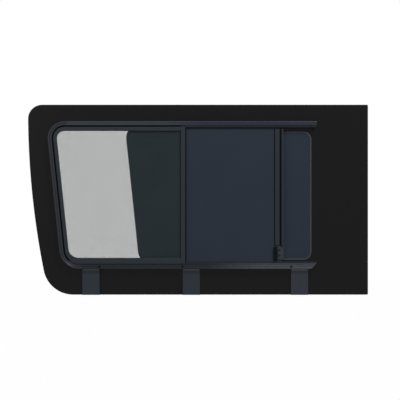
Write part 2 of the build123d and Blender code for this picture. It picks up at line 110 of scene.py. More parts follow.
class Graph:
    """The node tree of a material or a world."""

    def __init__(self, tree: bpy.types.NodeTree) -> None:
        """Empties a node tree and keeps it."""
        self.tree = tree
        tree.nodes.clear()

    def node(self, kind: str, settings: dict[str, Any] | None = None,
             inputs: dict[str | int, Any] | None = None) -> bpy.types.Node:
        """Adds one node.

        Args:
            kind: Blender's name of the node's type.
            settings: Properties to set before the sockets.
            inputs: Values or links of its sockets, by name or number.

        Returns:
            The new node.
        """
        made = self.tree.nodes.new(kind)
        for name, setting in (settings or {}).items():
            setattr(made, name, setting)
        for key, given in (inputs or {}).items():
            socket = made.inputs[key]
            if isinstance(given, Value):
                self.tree.links.new(given.socket, socket)
            elif isinstance(given, bpy.types.NodeSocket):
                self.tree.links.new(given, socket)
            else:
                socket.default_value = given
        return made

    def value(self, kind: str, settings: dict[str, Any] | None = None,
              inputs: dict[str | int, Any] | None = None) -> Value:
        """Adds one node and returns its first output as a value."""
        return Value(self, self.node(kind, settings, inputs).outputs[0])

    def place(self, stretch: Point = EVEN) -> bpy.types.NodeSocket:
        """The point on the object in metres.

        Args:
            stretch: Factor on each axis.

        Returns:
            The socket with the point.
        """
        spot = self.node("ShaderNodeTexCoord").outputs["Object"]
        if stretch == EVEN:
            return spot
        return self.node("ShaderNodeVectorMath", {"operation": "MULTIPLY"}, {0: spot, 1: stretch}).outputs[0]

    def noise(self, scale: float, detail: float, stretch: Point = EVEN) -> Value:
        """Noise from 0 to 1 over the object.

        Args:
            scale: Grains per metre.
            detail: Octaves of finer noise.
            stretch: Factor on each axis, small along streaks.

        Returns:
            The noise value.
        """
        inputs = {"Vector": self.place(stretch), "Scale": scale, "Detail": detail, "Roughness": OCTAVE_SHARE}
        return self.value("ShaderNodeTexNoise", {"noise_dimensions": "3D"}, inputs)

    def along(self, front: float, rear: float) -> Value:
        """Place along the window, 0 up to one x in metres and 1 from another on."""
        spot = self.value("ShaderNodeSeparateXYZ", None, {0: self.place()})
        return self.value("ShaderNodeMapRange", None, {"Value": spot, "From Min": front, "From Max": rear})

    def seen(self) -> Value:
        """Tells what the camera sees from what only lights the object.

        Returns:
            1 for a camera ray, straight, mirrored or through glass, and otherwise 0.
        """
        path = self.node("ShaderNodeLightPath")
        straight = Value(self, path.outputs["Is Camera Ray"])
        mirrored = Value(self, path.outputs["Is Glossy Ray"])
        through = Value(self, path.outputs["Is Transmission Ray"])
        return (straight + mirrored + through).at_most(1.0)

    def blend(self, first: bpy.types.NodeSocket | Solid, second: bpy.types.NodeSocket | Solid,
              factor: Value) -> bpy.types.NodeSocket:
        """A colour between two others."""
        return self.node("ShaderNodeMix", {"data_type": "RGBA", "clamp_factor": True},
                         {0: factor, 6: first, 7: second}).outputs[2]

    def mottled(self, colour: Colour, spread: float, factor: Value) -> bpy.types.NodeSocket:
        """A colour that strays from darker to lighter than its mean."""
        return self.blend(tint(colour, 1 - spread), tint(colour, 1 + spread), factor)

    def bump(self, height: Value, depth: float) -> bpy.types.NodeSocket:
        """A normal from a height between 0 and 1 over a depth in metres."""
        return self.node("ShaderNodeBump", None,
                         {"Strength": 1.0, "Distance": depth, "Height": height}).outputs[0]


def new_material(name: str) -> tuple[bpy.types.Material, Graph]:
    """Makes an empty material.

    Args:
        name: Its name.

    Returns:
        The material and the graph of its nodes.
    """
    made = bpy.data.materials.new(name)
    made.use_nodes = True
    return made, Graph(made.node_tree)


@dataclass(frozen=True)
class Finish:
    """Finish of a plain opaque surface with fine grain.

    Attributes:
        name: Name of the material.
        colour: Mean linear colour.
        roughness: Mean roughness.
        specular: Specular level, half of it being that of common plastic.
        metallic: Share of metal.
        spread: How far colour strays from its mean.
        grain: Grains per metre of the finest texture.
        depth: Height of the grain in metres.
        stretch: Factor on each axis of the grain.
        gloss_spread: How far roughness strays from its mean.
        rear: Mean colour towards the rear end of the window, where it differs; the change to it is painted
            sheen, standing in for reflections that light one end of a rail or collar more than the other.
        reach: X in metres where the change to it begins and where it ends.
        patches: Broad patches per metre.
        detail: Octaves of the grain and of the patches.
        colour_share: Share of the grain in what colour does; patches do the rest.
        gloss_share: Share of the grain in what roughness does.
    """

    name: str
    colour: Colour
    roughness: float
    specular: float
    metallic: float = 0.0
    spread: float = 0.12
    grain: float = 1500.0
    depth: float = 0.00004
    stretch: Point = EVEN
    gloss_spread: float = 0.1
    rear: Colour | None = None
    reach: Place = (-0.4, 0.4)
    patches: float = 9.0
    detail: float = 3.0
    colour_share: float = 0.55
    gloss_share: float = 0.6

    def material(self) -> bpy.types.Material:
        """Builds the material.

        Returns:
            A material with colour, roughness and normal from noise.
        """
        made, graph = new_material(self.name)
        fine = graph.noise(self.grain, self.detail, self.stretch)
        broad = graph.noise(self.patches, self.detail)
        mottle = fine * self.colour_share + broad * (1 - self.colour_share)
        gloss = fine * self.gloss_share + broad * (1 - self.gloss_share)
        colour = graph.mottled(self.colour, self.spread, mottle)
        # painted sheen: the colour blends along the window towards the rear colour, in place of reflections
        # along rails and collars
        if self.rear is not None:
            rear = graph.mottled(self.rear, self.spread, mottle)
            colour = graph.blend(colour, rear, graph.along(*self.reach))
        surface = graph.node("ShaderNodeBsdfPrincipled", None, {
            "Base Color": colour,
            "Roughness": self.roughness + (gloss - NOISE_MEAN) * self.gloss_spread,
            "Metallic": self.metallic,
            "Specular IOR Level": self.specular,
            "Normal": graph.bump(fine, self.depth),
        })
        graph.node("ShaderNodeOutputMaterial", None, {"Surface": surface.outputs[0]})
        return made


@dataclass(frozen=True)
class TintedGlass:
    """Dark privacy glass that lets little light through.

    Attributes:
        name: Name of the material.
        colour: Mean linear colour of the body tint.
        specular: Specular level of the polished face.
        cover: Share of what lies behind that is hidden.
        film: Mean roughness of the polished face.
        film_spread: How far that roughness strays.
        smears: Smears of the film per metre.
        smear_detail: Octaves of the smears.
        spread: How far the tint strays from its mean.
        drift: Clouds of the tint per metre.
        drift_detail: Octaves of the clouds.
        index: Refractive index.
    """

    name: str
    colour: Colour
    specular: float = 0.08
    cover: float = 0.992
    film: float = 0.05
    film_spread: float = 0.04
    smears: float = 60.0
    smear_detail: float = 4.0
    spread: float = 0.08
    drift: float = 5.0
    drift_detail: float = 2.0
    index: float = 1.5

    def material(self) -> bpy.types.Material:
        """Builds the material.

        Returns:
            A glossy dark material with a faint uneven film.
        """
        made, graph = new_material(self.name)
        drift = graph.noise(self.drift, self.drift_detail)
        film = graph.noise(self.smears, self.smear_detail)
        surface = graph.node("ShaderNodeBsdfPrincipled", None, {
            "Base Color": graph.mottled(self.colour, self.spread, drift),
            "Roughness": self.film + (film - NOISE_MEAN) * self.film_spread,
            "Specular IOR Level": self.specular,
            "IOR": self.index,
            "Alpha": self.cover,
        })
        graph.node("ShaderNodeOutputMaterial", None, {"Surface": surface.outputs[0]})
        return made


class Material(Enum):
    """The finishes of the window, each built once."""

    PANE = TintedGlass("tinted_pane", (0.0148, 0.0213, 0.032))
    SASH = TintedGlass("tinted_sash", (0.0153, 0.0219, 0.0328))
    PRINT = Finish("fired_print", (0.0025, 0.0025, 0.0025), 0.22, 0.12, spread=0.06, grain=2400.0,
                   depth=0.000002, gloss_spread=0.04)
    # painted sheen: the top rail is lighter and greyer towards the front and darker and bluer towards the
    # rear
    SHEENED_TRACK = Finish("anodised_rail_painted_sheen", (0.0121, 0.017, 0.0228), 0.36, 0.3, stretch=(0.02, 1.0, 1.0),
                   depth=0.00001, rear=(0.0041, 0.005, 0.0158), reach=(-0.12, 0.02))
    # painted sheen: the bottom rail's own copy of the anodised finish, dark at the front and much lighter
    # towards the rear
    SHEENED_SILL = Finish("anodised_sill_painted_sheen", (0.0042, 0.0066, 0.0113), 0.36, 0.2, stretch=(0.02, 1.0, 1.0),
                  depth=0.00001, rear=(0.0288, 0.0334, 0.0417), reach=(0.03, 0.2))
    UPRIGHT = Finish("anodised_bend", (0.0075, 0.0085, 0.013), 0.36, 0.25, stretch=(1.0, 1.0, 0.02),
                     depth=0.00001)
    SCREEN = Finish("painted_screen", (0.008, 0.012, 0.017), 0.42, 0.2, depth=0.00002)
    # painted light: a lighter copy of the run rubber, for the bottom run channel that the light from above
    # reaches
    LIT_SILL_RUBBER = Finish("sill_rubber_painted_light", (0.015, 0.018, 0.023), 0.7, 0.06, grain=1100.0, depth=0.00006)
    RUBBER = Finish("run_rubber", (0.008, 0.0105, 0.013), 0.7, 0.04, grain=1100.0, depth=0.00006)
    GASKET = Finish("gasket_rubber", (0.002, 0.003, 0.005), 0.7, 0.04, grain=1100.0, depth=0.00006)
    PILE = Finish("brush_pile", (0.005, 0.007, 0.008), 0.9, 0.03, grain=3000.0)
    NET = Finish("net_thread", (0.024, 0.034, 0.037), 0.6, 0.1, spread=0.2, grain=2000.0)
    DUCT = Finish("duct_moulding", (0.003, 0.0078, 0.0145), 0.45, 0.28, grain=1600.0, depth=0.00008)
    # painted light: a lighter copy of the duct moulding, for the rear duct
    LIT_DUCT = Finish("duct_moulding_painted_light", (0.0085, 0.0108, 0.019), 0.45, 0.28, grain=1600.0,
                       depth=0.00008)
    # painted sheen: the collars are dark at the front duct and much lighter towards the rear duct
    SHEENED_COLLAR = Finish("collar_moulding_painted_sheen", (0.004, 0.005, 0.008), 0.25, 0.6, grain=1600.0, depth=0.00003,
                    rear=(0.0258, 0.0287, 0.0373), reach=(-0.363, 0.344))
    PLATE = Finish("plate_moulding", (0.0155, 0.0186, 0.026), 0.45, 0.2, grain=1600.0, depth=0.00006)
    PLASTIC = Finish("catch_moulding", (0.002, 0.0042, 0.0055), 0.6, 0.05, grain=1800.0, depth=0.00006)
    # painted highlight: the pale bead stands for the light along the edge of the viewing area
    HIGHLIGHT_BEAD = Finish("edge_bead_painted_highlight", (0.028, 0.031, 0.039), 0.45, 0.15, grain=1200.0, depth=0.00003)
    SCREW = Finish("screw_steel", (0.006, 0.006, 0.009), 0.35, 0.3, metallic=0.6, grain=900.0,
                   depth=0.00002)

    @cache
    def get(self) -> bpy.types.Material:
        """The Blender material, made on first use."""
        return self.value.material()


def dress(node: str, finish: Material) -> None:
    """Gives a CAD node a finish and reports it.

    Args:
        node: Name of the node.
        finish: The finish that it gets.
    """
    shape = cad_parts[node]
    shape.data.materials.clear()
    shape.data.materials.append(finish.get())
    LOG.info("dressed %s with %s", node, finish.value.name)


def add_piece(name: str, mesh: Mesh, finish: Material, body: str,
              smooth: bool = False) -> bpy.types.Object:
    """Makes a mesh piece that rides on a body, with all faces turned outwards.

    Args:
        name: Name of the piece.
        mesh: Its corners in metres, in the row frame, and its faces.
        finish: Its finish.
        body: The CAD body that it moves with.
        smooth: True to shade it round.

    Returns:
        The new object.
    """
    data = bpy.data.meshes.new(name)
    data.from_pydata(mesh[0], [], mesh[1])
    shell = bmesh.new()
    shell.from_mesh(data)
    bmesh.ops.recalc_face_normals(shell, faces=shell.faces)
    shell.to_mesh(data)
    shell.free()
    data.materials.append(finish.get())
    data.polygons.foreach_set("use_smooth", [smooth] * len(data.polygons))
    data.update()
    piece = bpy.data.objects.new(name, data)
    bpy.context.scene.collection.objects.link(piece)
    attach(piece, body)
    LOG.info("built %s: %d faces", name, len(data.polygons))
    return piece


@dataclass
class Bay:
    """The area that the track runs round, in millimetres.

    Attributes:
        top: Level of the upper outer edge of the track.
        bottom: Level of the lower outer edge of the track.
        front: X of the leaning front side at the upper edge.
        lean: Lean of the front side in degrees.
        top_radius: Radius of the upper bend.
        bottom_radius: Radius of the lower bend.
        bend_steps: Pieces of each bend.
        column_steps: Pieces that an upright line is searched in.
    """

    top: float = -36.1
    bottom: float = -536.6
    front: float = -515.6
    lean: float = 6.0
    top_radius: float = 57.0
    bottom_radius: float = 67.0
    bend_steps: int = 14
    column_steps: int = 240

    def side(self, level: float, inset: float) -> float:
        """X of the leaning side at a level, moved into the bay by an inset."""
        slope = math.radians(self.lean)
        return self.front + (self.top - level) * math.tan(slope) + inset / math.cos(slope)

    def within(self, head: float, sill: float) -> "Bay":
        """The same area with its upper and lower sides moved in."""
        top = self.top - head
        return replace(self, top=top, bottom=self.bottom + sill, front=self.side(top, 0.0))

    def bend(self, upper: bool, inset: float) -> tuple[float, float, float]:
        """Centre and radius of one front bend moved in by an inset.

        Args:
            upper: True for the upper bend.
            inset: How far the outline is moved into the bay.

        Returns:
            X and level of the centre, and the radius.
        """
        radius = (self.top_radius if upper else self.bottom_radius) - inset
        level = self.top - inset - radius if upper else self.bottom + inset + radius
        return self.side(level, inset + radius), level, radius

    def row(self, level: float, inset: float) -> float:
        """Where a level line meets the front of the outline.

        Args:
            level: Level of the line.
            inset: How far the outline is moved into the bay.

        Returns:
            X of that point.
        """
        slope = math.sin(math.radians(self.lean))
        for upper in (True, False):
            x, middle, radius = self.bend(upper, inset)
            edge = middle - radius * slope
            if level > edge if upper else level < edge:
                return x - math.sqrt(max(radius ** 2 - (level - middle) ** 2, 0.0))
        return self.side(level, inset)

    def column(self, x: float, inset: float) -> Place:
        """Lowest and highest level of the outline at an x.

        Args:
            x: Where the upright line stands.
            inset: How far the outline is moved into the bay.

        Returns:
            The two levels, the same where the line misses the outline.
        """
        low, high = self.bottom + inset, self.top - inset
        steps = self.column_steps
        levels = [low + (high - low) * step / steps for step in range(steps + 1)]
        inside = [level for level in levels if self.row(level, inset) <= x]
        return (inside[0], inside[-1]) if inside else (low, low)

    def loop(self, inset: float, rear: float) -> list[Place]:
        """Points of the whole outline, from the upper rear corner round the front.

        Args:
            inset: How far the outline is moved into the bay.
            rear: X of the upright rear side.

        Returns:
            X and level of each point.
        """
        points = [(rear, self.top - inset)]
        for upper, start, end in ((True, 90, 180 + self.lean), (False, 180 + self.lean, 270)):
            x, level, radius = self.bend(upper, inset)
            for step in range(self.bend_steps + 1):
                turn = math.radians(start + (end - start) * step / self.bend_steps)
                points.append((x + radius * math.cos(turn), level + radius * math.sin(turn)))
        points.append((rear, self.bottom + inset))
        return points


def sweep(outline: list[Place], profile: list[Place], closed: bool) -> Mesh:
    """Sweeps a closed profile along an outline.

    Args:
        outline: X and level of each point, in millimetres.
        profile: Distance across the outline and depth of each corner, in millimetres.
        closed: True where the outline ends at its start; otherwise both ends are capped.

    Returns:
        Corners in metres, and faces.
    """
    count, sides = len(outline), len(profile)
    points: list[Point] = []
    faces: list[Face] = []
    for number in range(count):
        here = Vector(outline[number])
        before = (here - Vector(outline[number - 1])).normalized()
        after = (Vector(outline[(number + 1) % count]) - here).normalized()
        if not closed and number == 0:
            before = after
        if not closed and number == count - 1:
            after = before
        mitre = (before + after).normalized()
        across = Vector((-mitre.y, mitre.x)) / max(mitre.dot(after), MITRE_LIMIT)
        for side, depth in profile:
            place = here + across * side
            points.append((place.x * MM, -depth * MM, place.y * MM))
    for number in range(count if closed else count - 1):
        following = (number + 1) % count
        for side in range(sides):
            beside = (side + 1) % sides
            faces.append((number * sides + side, number * sides + beside,
                          following * sides + beside, following * sides + side))
    if not closed:
        faces.append(tuple(reversed(range(sides))))
        faces.append(tuple((count - 1) * sides + side for side in range(sides)))
    return points, faces


def upright_bar(profile: list[Place], low: float, high: float) -> Mesh:
    """Raises a closed profile into an upright bar.

    Args:
        profile: X and depth of each corner, in metres.
        low: Level of its lower end.
        high: Level of its upper end.

    Returns:
        Corners in metres, and faces.
    """
    sides = len(profile)
    points = [(x, -depth, level) for level in (low, high) for x, depth in profile]
    faces: list[Face] = [tuple(reversed(range(sides))), tuple(range(sides, 2 * sides))]
    for side in range(sides):
        beside = (side + 1) % sides
        faces.append((side, beside, beside + sides, side + sides))
    return points, faces


@dataclass
class FixedPane:
    """The fixed pane with its print and the rubber that seals its opening, in millimetres.

    Attributes:
        view_front: X of the front side of the clear viewing area.
        view_rear: X of its rear side.
        view_top: Level of its upper side.
        view_bottom: Level of its lower side.
        view_radius: Radius of its corners.
        corner_steps: Pieces of each corner.
        highlight_bead_width: Width of the pale bead round it, whose colour paints the highlight along the
            edge of the viewing area.
        highlight_bead_height: Height of the bead.
        highlight_bead_shoulder: Share of width and height where the bead turns over.
        highlight_bead_sink: How deep the bead's foot reaches into the print.
    """

    view_front: float = -17.0
    view_rear: float = 382.9
    view_top: float = -72.4
    view_bottom: float = -505.2
    view_radius: float = 26.0
    corner_steps: int = 8
    highlight_bead_width: float = 6.4
    highlight_bead_height: float = 0.7
    highlight_bead_shoulder: float = 0.7
    highlight_bead_sink: float = 0.2

    def build(self) -> None:
        """Dresses the pane, both zones of the print and the seal, and lays the bead of painted highlight."""
        dress("outer_glass", Material.PANE)
        dress("bonding_band", Material.PRINT)
        dress("printed_mask", Material.PRINT)
        dress("aperture_seal", Material.RUBBER)
        self.lay_highlight_bead()

    def lay_highlight_bead(self) -> None:
        """Lays the low round pale bead on the edge of the viewing area, as a painted highlight along that
        edge.
        """
        outline = []
        radius = self.view_radius
        corners = [(self.view_rear, self.view_top, 1, 1), (self.view_front, self.view_top, -1, 1),
                   (self.view_front, self.view_bottom, -1, -1), (self.view_rear, self.view_bottom, 1, -1)]
        for quarter, (x, level, right, up) in enumerate(corners):
            for step in range(self.corner_steps + 1):
                turn = math.radians(90 * quarter + 90 * step / self.corner_steps)
                outline.append((x - right * radius + radius * math.cos(turn),
                                level - up * radius + radius * math.sin(turn)))
        half, height = self.highlight_bead_width / 2, self.highlight_bead_height
        shoulder, rise = half * self.highlight_bead_shoulder, height * self.highlight_bead_shoulder
        profile = [(-half, 0.0), (-shoulder, rise), (0.0, height), (shoulder, rise), (half, 0.0),
                   (0.0, -self.highlight_bead_sink)]
        mesh = sweep(outline, profile, closed=True)
        add_piece("view_edge_highlight_bead", mesh, Material.HIGHLIGHT_BEAD, "frame", smooth=True)


@dataclass
class Track:
    """The bent track with its run channel, bond and end plugs."""

    def build(self) -> None:
        """Dresses the rails, the upright and what lies in them."""
        dress("top_rail", Material.SHEENED_TRACK)
        dress("bottom_rail", Material.SHEENED_SILL)
        dress("front_upright", Material.UPRIGHT)
        for node in ("track_bond", "top_run_channel", "front_run_channel"):
            dress(node, Material.RUBBER)
        dress("bottom_run_channel", Material.LIT_SILL_RUBBER)
        for node in ("top_end_plug", "bottom_end_plug"):
            dress(node, Material.PLASTIC)


@dataclass
class Net:
    """The woven net in the slot of the screen frame, in millimetres.

    Attributes:
        bay: The area that the frame fills.
        mullion: X of the front side of the mullion.
        tuck: How far the net reaches into the slot of the mullion.
        inset: Inset of the edge of the net, inside the frame's slot.
        head: How much further in its upper edge lies.
        sill: How much further in its lower edge lies.
        depth: Depth of its outer face.
        thickness: Its thickness.
        pitch: Distance from thread to thread.
        thread: Width of a thread.
        offset: How far level and upright threads lie to either side of the middle.
    """

    bay: Bay
    mullion: float
    tuck: float = 3.0
    inset: float = 27.2
    head: float = 3.0
    sill: float = 7.5
    depth: float = 17.0
    thickness: float = 0.4
    pitch: float = 1.2
    thread: float = 0.42
    offset: float = 0.07

    def weave(self) -> None:
        """Makes the net of crossing threads in place of its sheet."""
        mesh: Mesh = ([], [])
        middle = self.depth + self.thickness / 2
        rear = self.mullion + self.tuck
        area = self.bay.within(self.head, self.sill)
        low, high = area.bottom + self.inset, area.top - self.inset
        level = low + self.pitch / 2
        while level < high:
            start = area.row(level, self.inset)
            self._thread(mesh, (start, level), (rear, level), middle + self.offset)
            level += self.pitch
        x = rear - self.pitch / 2
        front = area.side(area.top, self.inset)
        while x > front:
            bottom, top = area.column(x, self.inset)
            if top - bottom > self.pitch:
                self._thread(mesh, (x, bottom), (x, top), middle - self.offset)
            x -= self.pitch
        net = add_piece("net_weave", mesh, Material.NET, "frame")
        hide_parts("insect_net")
        self._declare(net, area.loop(self.inset, rear))

    @staticmethod
    def _declare(net: bpy.types.Object, outline: list[Place]) -> None:
        """Args:
            net: The woven net; not used.
            outline: X and level of each point of its edge.
        """
        turns = zip(outline, outline[1:] + outline[:1])
        area = abs(sum(x * next_level - next_x * level for (x, level), (next_x, next_level) in turns)) / 2
        area * MM * MM

    def _thread(self, mesh: Mesh, start: Place, end: Place, depth: float) -> None:
        """Adds one flat six-sided thread between two places of the net.

        Args:
            mesh: Corners and faces, which it adds to.
            start: X and level of one end.
            end: X and level of the other end.
            depth: Depth of its middle.
        """
        points, faces = mesh
        base = len(points)
        along = Vector((end[0] - start[0], end[1] - start[1])).normalized()
        across = Vector((-along.y, along.x)) * self.thread / 2
        half = self.thickness / 2 - self.offset
        profile = [(1.0, 0.0), (0.5, half), (-0.5, half), (-1.0, 0.0), (-0.5, -half), (0.5, -half)]
        for x, level in (start, end):
            for side, rise in profile:
                points.append(((x + across.x * side) * MM, -(depth + rise) * MM,
                               (level + across.y * side) * MM))
        far = base + len(profile)
        for corner in range(len(profile)):
            following = (corner + 1) % len(profile)
            faces.append((base + corner, base + following, far + following, far + corner))
        faces.append(tuple(reversed(range(base, far))))
        faces.append(tuple(range(far, far + len(profile))))


@dataclass
class Brush:
    """The brush behind the mullion that wipes the sash, in millimetres.

    Attributes:
        bay: The area that the screen frame fills.
        mullion: X of the front and of the rear side of the mullion.
        inset: Inset of its ends.
        width: Its width.
        tips: Depth of the tips of the bristles.
        seat: Depth of the back of the mullion.
        backing: Thickness of the strip that holds the bristles.
        rows: Bristles side by side.
        pitch: Distance from one cross row to the next.
        margin: Distance from the outer bristles to the edge of the strip.
        radius: Radius of a bristle's root.
        sink: How deep a root stands in the strip.
        splay: How far a tip leans out, as a share of its distance from the middle.
        root_stray: How far roots stray.
        tip_stray: How far tips stray sideways.
    """

    bay: Bay
    mullion: Place
    inset: float = 25.5
    width: float = 23.0
    tips: float = 10.95
    seat: float = 15.2
    backing: float = 1.6
    rows: int = 17
    pitch: float = 1.1
    margin: float = 0.6
    radius: float = 0.3
    sink: float = 0.1
    splay: float = 0.06
    root_stray: float = 0.5
    tip_stray: float = 0.6

    def plant(self) -> None:
        """Makes the backing strip and its rows of leaning bristles."""
        middle, half = sum(self.mullion) / 2, self.width / 2
        left, right = middle - half, middle + half
        low, high = self.bay.bottom + self.inset, self.bay.top - self.inset
        foot = self.seat - self.backing
        profile = [(left, foot), (right, foot), (right, self.seat), (left, self.seat)]
        mesh = upright_bar([(x * MM, depth * MM) for x, depth in profile], low * MM, high * MM)
        for number in range(int((high - low) / self.pitch)):
            for row in range(self.rows):
                stray = self.scatter(number, row)
                x = left + self.margin + (self.width - 2 * self.margin) * row / (self.rows - 1)
                level = low + self.pitch * (number + 0.5) + stray * self.root_stray
                tip = max(min(x + (x - middle) * self.splay + stray * self.tip_stray, right), left)
                self._bristle(mesh, (x, level), (tip, level + stray), foot + self.sink)
        brush = add_piece("mullion_brush", mesh, Material.PILE, "frame")
        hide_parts("mullion_wiper")

    @staticmethod
    def scatter(first: int, second: int) -> float:
        """A fixed number from -0.5 to 0.5 that looks random."""
        seed = math.sin(first * SCATTER[0] + second * SCATTER[1]) * SCATTER[2]
        return seed - math.floor(seed) - 0.5

    def _bristle(self, mesh: Mesh, root: Place, tip: Place, depth: float) -> None:
        """Adds one closed three-sided bristle that comes to a point.

        Args:
            mesh: Corners and faces, which it adds to.
            root: X and level where it stands.
            tip: X and level of its point.
            depth: Depth of its root.
        """
        points, faces = mesh
        base = len(points)
        for side in range(3):
            turn = 2 * math.pi * side / 3
            points.append(((root[0] + self.radius * math.cos(turn)) * MM, -depth * MM,
                           (root[1] + self.radius * math.sin(turn)) * MM))
        points.append((tip[0] * MM, -self.tips * MM, tip[1] * MM))
        faces += [(base + side, base + (side + 1) % 3, base + 3) for side in range(3)]
        faces.append((base + 2, base + 1, base))


@dataclass
class InsectScreen:
    """The screen frame with its mullion, net, brush, black gasket of painted shade and foot, in millimetres.

    Attributes:
        bay: The area that the frame fills.
        mullion: X of the front and of the rear side of the mullion.
        shade_gasket_outer: Inset of the outer side of the black gasket round the frame, whose black paints
            the shade of the groove there.
        shade_gasket_inner: Inset of its inner side.
        shade_gasket_back: Depth of its back.
        shade_gasket_front: Depth of its front.
        shade_gasket_bevel: Bevel of its front edges.
        foot_points: Points of the outline that run along the foot.
        foot_front: Depth of the front of the foot that the frame stands on.
        foot_step: How far the foot's outer side lies inside that of the gasket.
        foot_bevel: Bevel of its outer edge.
    """

    bay: Bay = field(default_factory=Bay)
    mullion: Place = (-58.4, -43.0)
    shade_gasket_outer: float = 14.1
    shade_gasket_inner: float = 18.8
    shade_gasket_back: float = 16.8
    shade_gasket_front: float = 18.2
    shade_gasket_bevel: float = 0.6
    foot_points: int = 8
    foot_front: float = 21.8
    foot_step: float = 1.4
    foot_bevel: float = 1.0

    def build(self) -> None:
        """Dresses the frame and mullion, lays the black gasket of painted shade and the foot, weaves the net
        and plants the brush.
        """
        dress("screen_frame", Material.SCREEN)
        dress("mullion", Material.SCREEN)
        middle = (self.shade_gasket_outer + self.shade_gasket_inner) / 2
        outline = self.bay.loop(middle, self.mullion[0])
        self.lay_shade_gasket(outline[:-self.foot_points])
        self.lay_foot(outline[-self.foot_points:])
        Net(self.bay, self.mullion[0]).weave()
        Brush(self.bay, self.mullion).plant()

    def lay_shade_gasket(self, outline: list[Place]) -> None:
        """Lays the black rubber gasket between the track and the frame, along the head and the front; it also
        paints the shade of the groove there.

        Args:
            outline: X and level of each point of its middle.
        """
        half = (self.shade_gasket_inner - self.shade_gasket_outer) / 2
        back, front = self.shade_gasket_back, self.shade_gasket_front
        shoulder = front - self.shade_gasket_bevel
        profile = [(-half, back), (-half, shoulder), (0.0, front), (half, shoulder), (half, back)]
        mesh = sweep(outline, profile, closed=False)
        # painted shade: the black gasket darkens the groove between the track and the screen frame
        add_piece("screen_shade_gasket", mesh, Material.GASKET, "frame")

    def lay_foot(self, outline: list[Place]) -> None:
        """Lays the metal foot that the frame stands on, along the sill.

        Args:
            outline: X and level of each point of its middle.
        """
        half = (self.shade_gasket_inner - self.shade_gasket_outer) / 2
        outer, bevel = self.foot_step - half, self.foot_bevel
        back, front = self.shade_gasket_back, self.foot_front
        profile = [(outer, back), (outer, front - bevel), (outer + bevel, front), (half, front), (half, back)]
        mesh = sweep(outline, profile, closed=False)
        add_piece("screen_foot", mesh, Material.SCREEN, "frame")


